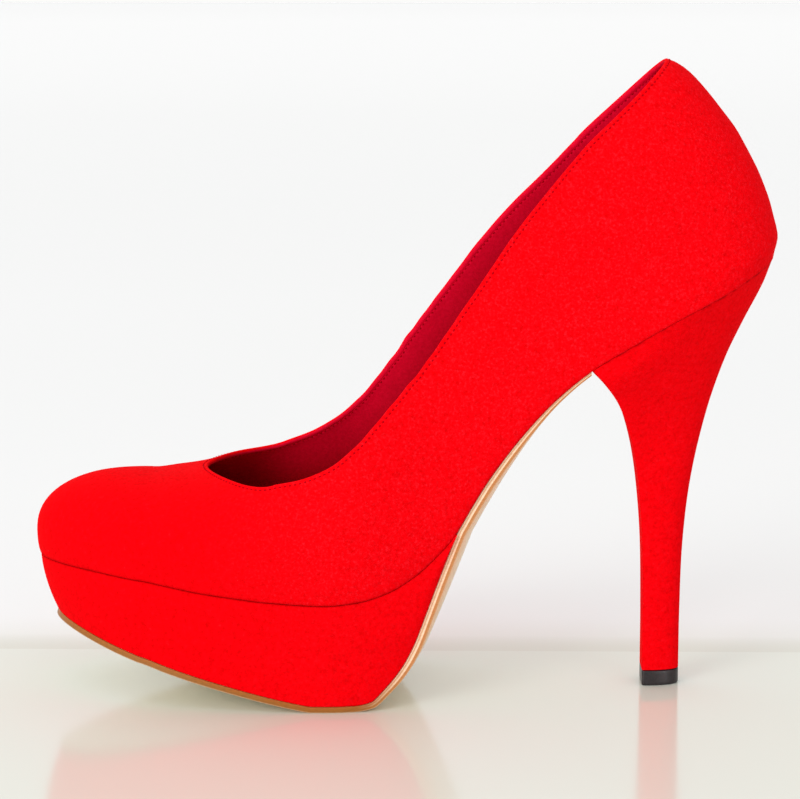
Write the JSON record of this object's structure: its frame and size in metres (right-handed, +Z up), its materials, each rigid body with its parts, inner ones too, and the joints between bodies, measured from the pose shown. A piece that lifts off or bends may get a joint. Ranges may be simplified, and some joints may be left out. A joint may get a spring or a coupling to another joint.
{
  "type": "womens platform stiletto court shoe",
  "caption": "Left platform court shoe with a slender covered stiletto heel, rounded toe and thin leather outsole.",
  "frame": {"origin": "on the floor, in the middle of the flat tread under the ball of the foot", "axes": "-X towards the toe, -Y towards the outer side of the foot, +Z up"},
  "size_m": [0.2173, 0.0762, 0.185],
  "materials": {
    "upper_suede": "red suede with a fine nap",
    "cover_suede": "red suede stretched over a hard core",
    "lining": "smooth dark red lining",
    "sole_leather": "thin tan sole leather, satin",
    "tip_plastic": "near-black hard plastic"
  },
  "bodies": {
    "root": {"upper": "upper_suede", "insole": "lining", "platform": "cover_suede", "outsole": "sole_leather", "heel": "cover_suede", "heel_tip": "tip_plastic"}
  },
  "joints": []
}
